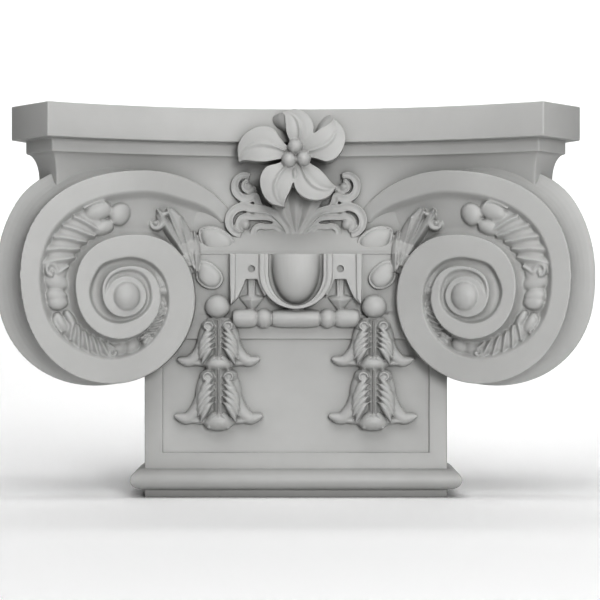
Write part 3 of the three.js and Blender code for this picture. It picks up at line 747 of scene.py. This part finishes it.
def bead_and_reel(clay):
    """Turned beads and reels on a line, over a plain fascia."""
    lay = front(1)

    def turned(middle, half, radius, fullness, power):
        rings = []
        for s in np.linspace(-1, 1, 19):
            a = np.linspace(0, 2 * math.pi, 33)[:-1]
            r = radius * (1 - fullness * abs(s) ** power)
            rings.append(lay(middle + s * half + 0 * a, BEAD_HEIGHT + r * np.cos(a),
                             NECK_DEPTH + 3 + r * np.sin(a)))
        shell(clay, rings)

    turned(0, 24.6, 9.8, 0.16, 4)
    for side in (-1, 1):
        turned(side * 33.7, 8.2, 10.4, 0.42, 2.4)
        turned(side * 54.5, 12.2, 9.9, 0.2, 4)


def scroll(clay, lay, points, centre, radius, start, end, width, crown, base, shrink=0.72,
           top=round_top):
    """A strand that runs from its root and curls round a centre."""
    a = np.radians(np.linspace(start, end, 9))
    r = radius * np.linspace(1, shrink, 9)
    curl = np.stack([centre[0] - r * np.cos(a), centre[1] + r * np.sin(a)], 1)
    blade(clay, lay, points + curl.tolist(), lambda t: width * belly(mix(0.15, 0.9, t), 0.25, 0.55),
          lambda t: crown * (0.6 + 0.4 * t), base, 12, top, 60, 12)


def stem_and_leaves(clay):
    """The fanned stem under the flower, and the scrolled leaves on both sides of it."""
    wall = WALL_DEPTH + 3
    for lean in (-30, 0, 30):
        s, c = math.sin(math.radians(lean)), math.cos(math.radians(lean))
        blade(clay, front(1),
              [(0, STEM_FOOT), (24 * s, STEM_FOOT + 26 * c), (46 * s, STEM_FOOT + 62 * c)],
              lambda t: 1.5 + 11 * t, lambda t: 3 + 2 * t, lambda t: wall + 3 + 4 * t, 12, keel_top,
              16, 8)
    for side in (-1, 1):
        lay = front(side)
        for points, centre, radius, start, end, width, crown, shrink in (
                ([(5, 277), (13, 293), (28, 306)], (57, 293), 18, 60, 262, 5.6, 13, 0.72),
                ([(6, 277), (14, 289), (27, 298)], (53, 290), 10.5, 60, 240, 4.2, 10, 0.8),
                ([(6, 276), (14, 284), (24, 289)], (38, 281), 9, 60, 225, 4, 9, 0.8),
                ([(30, 303), (37, 309), (41, 315)], (53, 333), 15, -50, -290, 5.2, 13, 0.72),
                ([(42, 321), (44, 327)], (51, 333), 6.5, -20, -275, 3, 10, 0.8)):
            scroll(clay, lay, points, centre, radius, start, end, width, crown, wall, shrink,
                   gutter_top)
        blob(clay, lay, (55, 291), (6, 6, 6), 0, wall + 3)
        blob(clay, lay, (51, 332), (4.5, 4.5, 5), 0, wall + 3)


def ear_husk(clay, lay, length, half, slats):
    """A husk laid along the volute's channel: a two-lobed cup, slanting slats and a curl."""
    for q, wide in ((0.42, 0.5), (-0.5, 0.42)):
        blob(clay, lay, (0.12 * length, q * half), (0.14 * length, wide * half, 6.5), 0, 1)
    # A crescent over the outer lobe
    blade(clay, lay,
          [(0.02 * length, 0.5 * half), (0.08 * length, 0.9 * half), (0.24 * length, 0.85 * half)],
          lambda t: 1.7 * belly(mix(0.1, 0.9, t)), 4, 2.5, 8)
    blade(clay, lay, [(0.14 * length, 0), (0.55 * length, 0), (0.98 * length, 0)],
          lambda t: 0.9 * half * (1 - 0.25 * t) * belly(mix(0.2, 0.9, t), 0.5), 4.5, 0, 8,
          round_top, 30, 14)
    step = 0.6 / slats
    for i in range(slats):
        a = 0.16 + step * i
        points = [((a - 0.03) * length, -0.75 * half), ((a + 0.05) * length, -0.35 * half),
                  ((a + 0.12) * length, 0.2 * half), ((a + 0.19) * length, 0.78 * half)]
        blade(clay, lay, points, lambda t: step * length * 0.4 * belly(mix(0.1, 0.88, t), 0.25),
              lambda t: 3.6 + 2.2 * np.sin(np.pi * t), 2.2, 8, keel_top, 20, 8)
    scroll(clay, lay, [(0.74 * length, -0.6 * half), (0.86 * length, -0.1 * half)],
           (0.86 * length, 0.28 * half), 0.34 * half, -60, 200, 0.13 * half, 4, 3)
    blob(clay, lay, (0.87 * length, 0.24 * half), (0.14 * half, 0.14 * half, 4), 0, 3)
    blob(clay, lay, (0.95 * length, -0.05 * half), (0.09 * length, 0.7 * half, 5), 0, 0)


def volute_face_grid(lay, angles):
    """Sections of the face at every angle: the flat band, the channel, and the cove that rises to
    the next turn."""
    edge = rim_radius(angles)
    inner = np.maximum(rim_radius(angles + 360), edge[-1])
    gap = np.maximum(edge - inner, 0.5)
    band = np.minimum(band_width(angles), 0.86 * gap)
    rise = band_rise(angles)
    floor = np.maximum(channel_floor(angles), rise - 0.55 * (gap - band))
    next_rise = band_rise(np.minimum(angles + 360, angles[-1]))
    cove = np.minimum(mix(8.5, 14, smooth((angles - 430) / 200)), 0.55 * (gap - band))
    slope = np.minimum(9.0, 0.4 * (gap - band))
    foot = edge - band
    columns = [(edge, rise), (edge - band / 2, rise), (foot, rise)]
    columns += [(foot - slope * t, mix(rise, floor, smooth(t) ** 0.8))
                for t in (0.2, 0.4, 0.6, 0.8, 1.0)]
    columns += [(mix(foot - slope, inner + cove, t), floor) for t in (0.33, 0.66, 1.0)]
    columns += [(inner + cove * (1 - t), mix(floor, next_rise, 1 - math.sqrt(1 - t * t)))
                for t in (0.3, 0.55, 0.75, 0.9, 1.0)]
    return np.stack([lay(radius, angles, height) for radius, height in columns], 1)


def volute_solid(clay, side):
    """The volute's body: the spiral band and channel in front, and behind its rim a hollow that
    flares out into a second rim, and runs straight back to the wall."""
    step = 3
    turn = 360 // step
    angles = np.arange(SPIRAL_START, SPIRAL_END + step, step)
    grid = volute_face_grid(polar(volute_face(side)), angles)
    count, n = grid.shape[:2]
    # The inner edge of each turn is the rim of the next
    index = np.arange(count * n).reshape(count, n)
    index[:-turn, -1] = index[turn:, 0]
    faces = np.stack([index[:-1, :-1], index[:-1, 1:], index[1:, 1:], index[1:, :-1]],
                     -1).reshape(-1, 4).tolist()
    # The innermost loop is closed to the eye's middle
    points = [grid.reshape(-1, 3)]
    loop = index[-turn:, -1].tolist() + index[-1, -2::-1].tolist()
    hub = count * n
    points.append(points[0][loop].mean(axis=0)[None])
    faces += [[a, b, hub] for a, b in zip(loop, loop[1:] + loop[:1])]
    # The side starts from the first turn's rim and the section at the spiral's start
    level = index[:turn, 0].tolist() + index[0, :0:-1].tolist()
    outline = points[0][level]
    ring = angles[:turn]
    wide = FLARE_OUT * smooth((275 - ring) / 90) * smooth((ring - 70) / 70)
    outwards = np.zeros_like(outline)
    outwards[:turn, 0] = -side * wide * np.cos(np.radians(ring))
    outwards[:turn, 2] = wide * np.sin(np.radians(ring))
    rings = [outline + (1 - math.cos(a)) * outwards + (0, FLARE_BACK * math.sin(a), 0)
             for a in np.linspace(0, math.pi / 2, 9)[1:]]
    rings.append(rings[-1] + (0, 4, 0))
    rings.append(rings[-1] * (1, 0, 1) + (0, BACK + PAST_WALL, 0))
    start = hub + 1
    for moved in rings:
        moved[:, 1] = np.minimum(moved[:, 1], BACK + PAST_WALL)
        points.append(moved)
        now = list(range(start, start + len(level)))
        faces += [[level[k - 1], level[k], now[k], now[k - 1]] for k in range(len(level))]
        level = now
        start += len(level)
    clay.append((np.concatenate(points), faces + [level]))


def fan_leaf(clay, side):
    """The husk over the knot: a curl, long blades that run down to a point, and two lobes."""
    lay = front(side)

    def on_ground(points, width, crown, lift, top):
        def base(t):
            p = along(points, t)
            return ground_depth(p[:, 0], p[:, 1]) + lift
        blade(clay, lay, points, lambda t: width * belly(mix(0.05, 0.92, t), 0.1), crown, base,
              14, top, 30, 10)

    on_ground(((135, 306), (124, 277), (106, 240)), 13, 6, -1, round_top)
    for points, width in ((((146, 306), (133, 281), (114, 252)), 5.6),
                          (((136, 307), (125, 279), (111, 246)), 5.2),
                          (((123, 299), (116, 271), (107, 242)), 5.2),
                          (((109, 284), (106, 262), (105, 240)), 5)):
        on_ground(points, width * 0.86, 6, 3, keel_top)
    at = shifted(lay, 148, 291, float(ground_depth(148, 291)))
    scroll(clay, at, [(-12, 10), (-3, 9)], (0, 0), 7, 60, -200, 2.6, 4.5, 0)
    blob(clay, at, (0, 0), (3, 3, 4), 0, 1)
    for outline in (((101, 284), (85, 286), (70, 276), (69, 266), (77, 256), (88, 258), (98, 268)),
                    ((101, 249), (91, 248), (81, 239), (79, 231), (85, 224), (96, 225),
                     (104, 234))):
        middle = np.mean(outline, axis=0)
        level = float(ground_depth(middle[0], middle[1]))
        pillow(clay, lay, outline, 6, lambda p: level + 1 + 0 * p[:, 0])


def volute(side, name):
    """One volute with the garland in its channel."""
    clay = []
    volute_solid(clay, side)
    blob(clay, volute_face(side), (0, 0), (EYE_RADIUS, EYE_RADIUS + 1, 9), 0,
         float(band_rise(SPIRAL_END)) - 1)
    # The beads' angles, and their half lengths along, across and up
    for angle, *size in ((92, 11.5, 12, 6.5), (180, 8.5, 11, 6), (185, 8.5, 11, 6),
                         (281, 8.5, 8, 6),
                         (368, 5.5, 5, 5)):
        lay, length = in_channel(side, angle - 12, angle)
        blob(clay, lay, (length, 0), size, 0, 1)
    # The husks' angles from and to, how far they outgrow the channel, and their slats
    for start, end, grow, slats in ((98, 172, 1.5, 5), (194, 272, 1.5, 5), (292, 352, 1, 4)):
        lay, length = in_channel(side, start, end)
        ear_husk(clay, lay, length, float(channel_half((start + end) / 2)) + grow, slats)
    lay, length = in_channel(side, 374, 410)
    blade(clay, lay, [(0, 0), (length / 2, 0.5), (length, 1.5)],
          lambda t: 3.4 * (1 - t) ** 0.5 + 0.4,
          lambda t: 5 * (1 - t) + 1, 0, 6)
    fan_leaf(clay, side)
    dress(moulded(name, clay, TRIANGLES["volute"], False, BACK - VOLUTE_SHORT), name)


# The flower's petal, by radius and angle from the direction of its root: the outer edge, the rib
# and the inner edge, which meet in the tip. Then for each petal its root's direction, its reach and
# how far its tip rolls over
PETAL_OUTER = ((10, -24), (20, -23), (31, -25), (41, -15), (49, 0), (53, 15), (52, 31))
PETAL_RIB = ((10, 4), (18, 2), (27, 4), (35, 8), (42, 14), (48, 22), (52, 31))
PETAL_INNER = ((9, 40), (18, 38), (27, 37), (35, 34), (42, 31), (48, 30), (52, 31))
PETALS = ((76, 0.92, 13), (13, 1.08, 9), (-68, 1.05, 0), (-133, 1.08, 0), (156, 1.17, 0))


def petal(clay, root_angle, reach, fold):
    """A petal that twists to one side, with a rib, lifted off the abacus."""
    lay = front(1)
    height = TOP - FLOWER_DROP
    t = np.linspace(0, 1, 30)

    def curve(points):
        radius, angle = np.array(points, float).T
        a = np.radians(angle + root_angle)
        return along(np.stack([radius * reach * np.cos(a), radius * reach * np.sin(a)], 1), t)

    outer, rib, inner = curve(PETAL_OUTER), curve(PETAL_RIB), curve(PETAL_INNER)
    s = np.linspace(-1, 1, 25)
    rings = []
    for i, k in enumerate(t):
        edge = np.where(s[:, None] < 0, outer[i], inner[i])
        flat = rib[i] + (edge - rib[i]) * np.abs(s)[:, None]
        lift = ABACUS_MID + 9 + 7 * math.sin(math.pi * min(1, k * 0.75 + 0.1)) - 3 * k
        bulge = (1.6 * (4 * np.abs(s) * (1 - np.abs(s))) ** 0.8
                 * math.sin(math.pi * mix(0.12, 0.9, k)))
        depth = lift + bulge + 3.2 * np.exp(-((s / 0.11) ** 2)) * (1 - k**3) + 1.4 * np.abs(s) ** 9
        top = lay(flat[:, 0], height + flat[:, 1], depth)
        low = lay(flat[[-1, 0], 0], height + flat[[-1, 0], 1], np.array([PETAL_ROOT, PETAL_ROOT]))
        rings.append(np.vstack([top, low]))
    shell(clay, rings)
    if fold:
        # The tip's rolled edge, which turns away from the viewer
        edge = inner[12:]
        share = np.linspace(0, 1, len(edge))
        aside = np.stack([-edge[:, 1], edge[:, 0]], 1) / np.linalg.norm(edge, axis=1)[:, None]
        far = edge + aside * (fold * np.sin(np.pi * mix(0.05, 0.75, share)))[:, None]
        rings = []
        for a, b in zip(edge, far):
            flat = np.array([a, (a + b) / 2, b, b, a])
            rings.append(lay(flat[:, 0], height + flat[:, 1],
                             ABACUS_MID + np.array([12, 8, 2, -33, -33])))
        shell(clay, rings)


def flower():
    """Five petals round three berries."""
    clay = []
    for values in PETALS:
        petal(clay, *values)
    lay = shifted(front(1), 0, TOP - FLOWER_DROP, ABACUS_MID)
    for angle in (95, 215, 335):
        a = math.radians(angle)
        blob(clay, lay, (9 * math.cos(a), 9 * math.sin(a)), (8, 8, 9), 0, 14)
    # What fills the gaps under the berries and between the lower petals
    blob(clay, lay, (0, 0), (15, 15, 15), 0, 0)
    blob(clay, lay, (-1, -21), (6, 13, 18.5), 0, -2)
    dress(moulded("flower", clay, TRIANGLES["flower"]), "flower")


def neck_husk(clay, lay, length, half):
    """A husk that hangs on the neck: a bell with flared tips, two fluted leaves and a bud."""
    def down(out, share):
        return out * half, -share * length

    blade(clay, lay, [down(0, -0.02), down(0, 0.3), down(0, 0.78)],
          lambda t: half * mix(0.3, 0.66, t**1.2) * (1 - 0.3 * smooth((t - 0.8) / 0.2)), 6, 0,
          8, round_top, 24, 16)
    for s in (-1, 1):
        # The bell's lip turns out into a rounded tip
        lip = [down(0.4 * s, 0.45), down(0.5 * s, 0.66), down(0.72 * s, 0.8), down(1.02 * s, 0.76)]
        blade(clay, lay, lip, lambda t: half * 0.17 * belly(mix(0.2, 0.99, t), 0.05, 0.5),
              lambda t: mix(9, 6, t), 0, 8, round_top, 30, 12)
        blade(clay, lay, [down(0, 0.78), down(0.35 * s, 0.83), down(0.78 * s, 0.84)],
              lambda t: 0.1 * half * belly(mix(0.3, 0.98, t), 0.1), 6, 0, 8)
        blob(clay, lay, down(0.28 * s, 0.38), (0.25 * half, 0.36 * length, 11), 0.12 * s, 0)
        blob(clay, lay, down(0.25 * s, 0.14), (0.19 * half, 0.12 * length, 14.5), 0, 0)
        # Slanting flutes, from the rib down and outwards
        for i in range(5):
            a = 0.16 + 0.098 * i
            reach = (0.86, 1, 1, 0.96, 0.84)[i]
            points = [down(0.08 * s, a - 0.02), down(0.2 * s, a + 0.03),
                      down(0.38 * s * reach, a + 0.15), down(0.49 * s * reach, a + 0.31)]

            def width(t):
                swell, taper = smooth(t / 0.55), smooth((t - 0.7) / 0.3)
                return 0.054 * length * (0.1 + 0.9 * swell) * (1 - 0.7 * taper)

            blade(clay, lay, points, width, lambda t: 2 + 3.5 * smooth(t / 0.5),
                  lambda t: 9 + 1.6 * np.sin(np.pi * mix(0.1, 0.95, t)) - 5 * t**3, 8, round_top,
                  24, 8)
        # The small curl over the top lobe
        turn = np.linspace(0, 1.4 * np.pi, 9)
        r = 0.12 * half * (1 - 0.4 * turn / turn[-1])
        curl = np.stack([s * (0.25 * half - r * np.cos(turn)), -0.14 * length + r * np.sin(turn)],
                        1)
        blade(clay, lay, curl, 1.3, 3.5, 12.5, 10, round_top, 24, 6)
    blade(clay, lay, [down(0, 0.02), down(0, 0.35), down(0, 0.74)], 0.13 * half, 9, 1, 8)
    blade(clay, lay, [down(0, 0.02), down(0, 0.35), down(0, 0.72)], 1.5, 4, 9, 10, keel_top)
    blob(clay, lay, down(0, 0.85), (0.37 * half, 0.15 * length, 13), 0, 0)
    for lean in (-0.24, 0, 0.24):
        blade(clay, lay, [down(lean * 0.3, 0.72), down(lean * 0.8, 0.82), down(lean * 0.9, 0.96)],
              lambda t: 0.085 * half * belly(mix(0.2, 0.9, t), 0.3), 3, lambda t: 10 - 4 * t, 8,
              keel_top)


def garland(side, name):
    """The knot and the two husks that hang over the neck."""
    clay = []
    blob(clay, front(side), (GARLAND_OUT + 1, KNOT_HEIGHT), (KNOT_RADIUS, KNOT_RADIUS * 0.93, 10),
         0, NECK_DEPTH + 4)
    # Each husk's top, length and half width
    for top, length, half in ((190, 56, 43), (138, 67, 46)):
        neck_husk(clay, shifted(front(side), GARLAND_OUT, top, NECK_DEPTH), length, half)
    dress(moulded(name, clay, TRIANGLES["garland"]), name)


def bell_front():
    """The bell with all that lies on it between the volutes."""
    clay = []
    bell_body(clay)
    egg_and_dart(clay)
    bead_and_reel(clay)
    stem_and_leaves(clay)
    obj = moulded("bell", clay, TRIANGLES["bell"], True, BACK - BELL_SHORT)
    # A small round hole in each plaque
    for side in (-1, 1):
        bare()
        bpy.ops.mesh.primitive_cylinder_add(
            vertices=32, radius=HOLE_RADIUS * MM, depth=8 * MM, rotation=(math.pi / 2, 0, 0),
            location=(side * DART_OUT * MM, (BACK - LEDGE_DEPTH - 6) * MM, HOLE_HEIGHT * MM))
        bpy.ops.object.transform_apply(location=True, rotation=True, scale=True)
        carve_away(obj, bpy.context.object)
    dress(obj, "bell")


# Operators


class CAPITAL_OT_abacus(Operator):
    """Adds the concave abacus with its fillet and cove"""

    bl_idname = "capital.abacus"
    bl_label = "Add Abacus"

    def execute(self, context):
        abacus()
        return {"FINISHED"}


class CAPITAL_OT_neck(Operator):
    """Adds the panelled neck with its torus and foot"""

    bl_idname = "capital.neck"
    bl_label = "Add Neck"

    def execute(self, context):
        neck()
        return {"FINISHED"}


class CAPITAL_OT_volutes(Operator):
    """Adds both volutes with the garlands in their channels"""

    bl_idname = "capital.volutes"
    bl_label = "Add Volutes"

    def execute(self, context):
        volute(-1, "volute_left")
        volute(1, "volute_right")
        return {"FINISHED"}


class CAPITAL_OT_bell(Operator):
    """Adds the bell's front: egg-and-dart, bead-and-reel, stem and scrolled leaves"""

    bl_idname = "capital.bell"
    bl_label = "Add Bell"

    def execute(self, context):
        bell_front()
        return {"FINISHED"}


class CAPITAL_OT_flower(Operator):
    """Adds the flower over the abacus"""

    bl_idname = "capital.flower"
    bl_label = "Add Flower"

    def execute(self, context):
        flower()
        return {"FINISHED"}


class CAPITAL_OT_garlands(Operator):
    """Adds the husk garlands that hang over the neck"""

    bl_idname = "capital.garlands"
    bl_label = "Add Garlands"

    def execute(self, context):
        garland(-1, "garland_left")
        garland(1, "garland_right")
        return {"FINISHED"}


def aim(obj, target):
    obj.rotation_euler = (Vector(target) - obj.location).to_track_quat("-Z", "Y").to_euler()


def soft_light(name, place, target, power, size):
    light = bpy.data.lights.new(name, "AREA")
    light.shape = "RECTANGLE"
    light.size, light.size_y = size
    light.energy = power
    obj = bpy.data.objects.new(name, light)
    bpy.context.scene.collection.objects.link(obj)
    obj.location = place
    aim(obj, target)
    return obj


class CAPITAL_OT_stage(Operator):
    """Adds the pale floor and backdrop, the soft studio lights and the camera"""

    bl_idname = "capital.stage"
    bl_label = "Add Stage"

    def execute(self, context):
        stage = context.scene.capital_stage
        # One sheet of paper that runs from the floor up into the backdrop, in metres
        wide, deep, high, curve = 9, 5, 4, 1.0
        bare()
        bpy.ops.mesh.primitive_plane_add(size=1, location=(0, 0, 0))
        sheet = context.object
        sheet.name = "studio_paper"
        sheet.scale = (wide, deep, 1)
        bpy.ops.object.transform_apply(location=True, rotation=True, scale=True)
        bpy.ops.object.mode_set(mode="EDIT")
        bpy.ops.mesh.select_mode(type="EDGE")
        bpy.ops.mesh.select_all(action="DESELECT")
        mesh = bmesh.from_edit_mesh(sheet.data)
        for edge in mesh.edges:
            if all(v.co.y > 0.48 * deep for v in edge.verts):
                edge.select_set(True)
        bmesh.update_edit_mesh(sheet.data)
        bpy.ops.mesh.extrude_region_move(TRANSFORM_OT_translate={"value": (0, 0, high)})
        bpy.ops.object.mode_set(mode="OBJECT")
        bend = sheet.modifiers.new("bend", "BEVEL")
        bend.width = curve
        bend.segments = 16
        bend.limit_method = "ANGLE"
        apply_all(sheet)
        bpy.ops.object.shade_smooth()
        sheet.data.materials.append(studio_paper("matte seamless paper", stage.floor))
        soft_light("key", (0.65, -2.6, 0.8), (0, 0, 0.2), stage.key, (0.9, 0.9))
        soft_light("overhead", (0, -1.3, 2.4), (0, -0.2, 0.1), stage.overhead, (3, 2))
        soft_light("backdrop", (0, 0.9, 2.2), (0, 2.5, 0.8), stage.backdrop, (4, 0.6))
        world = bpy.data.worlds.new("studio")
        context.scene.world = world
        world.use_nodes = True
        world.node_tree.nodes["Background"].inputs["Color"].default_value = (1, 1, 1, 1)
        world.node_tree.nodes["Background"].inputs["Strength"].default_value = stage.room
        data = bpy.data.cameras.new("camera")
        data.sensor_fit = "HORIZONTAL"
        data.angle = stage.field
        camera = bpy.data.objects.new("camera", data)
        context.scene.collection.objects.link(camera)
        camera.location = (stage.camera_aside, BACK * MM - stage.camera_distance,
                           stage.camera_height)
        camera.rotation_euler = (math.pi / 2, 0, 0)
        context.scene.camera = camera
        # A white cut-out's contrast: the paper is at white, and the shaded sides stay deep
        view = context.scene.view_settings
        view.view_transform = "Standard"
        view.gamma = stage.contrast
        return {"FINISHED"}


class CAPITAL_PT_panel(Panel):
    """Lists the capital's pieces in the sidebar"""

    bl_idname = "CAPITAL_PT_panel"
    bl_label = "Ionic Capital"
    bl_space_type = "VIEW_3D"
    bl_region_type = "UI"
    bl_category = "Capital"

    def draw(self, context):
        for group in ("capital_sizes", "capital_finish", "capital_stage"):
            box = self.layout.box()
            for name in getattr(context.scene, group).bl_rna.properties.keys():
                if name not in ("rna_type", "name"):
                    box.prop(getattr(context.scene, group), name)
        for name in STEPS:
            self.layout.operator("capital." + name)


STEPS = ("stage", "abacus", "neck", "volutes", "bell", "flower", "garlands")
GROUPS = {"capital_sizes": CapitalSizes, "capital_finish": CapitalFinish,
          "capital_stage": CapitalStage}
CLASSES = (*GROUPS.values(), CAPITAL_OT_stage, CAPITAL_OT_abacus, CAPITAL_OT_neck,
           CAPITAL_OT_volutes,
           CAPITAL_OT_bell, CAPITAL_OT_flower, CAPITAL_OT_garlands, CAPITAL_PT_panel)


def register():
    for cls in CLASSES:
        bpy.utils.register_class(cls)
    for name, group in GROUPS.items():
        setattr(bpy.types.Scene, name, PointerProperty(type=group))


def unregister():
    for name in GROUPS:
        delattr(bpy.types.Scene, name)
    for cls in reversed(CLASSES):
        bpy.utils.unregister_class(cls)


def main():
    register()
    for name in STEPS:
        getattr(bpy.ops.capital, name)()


if __name__ == "__main__":
    main()
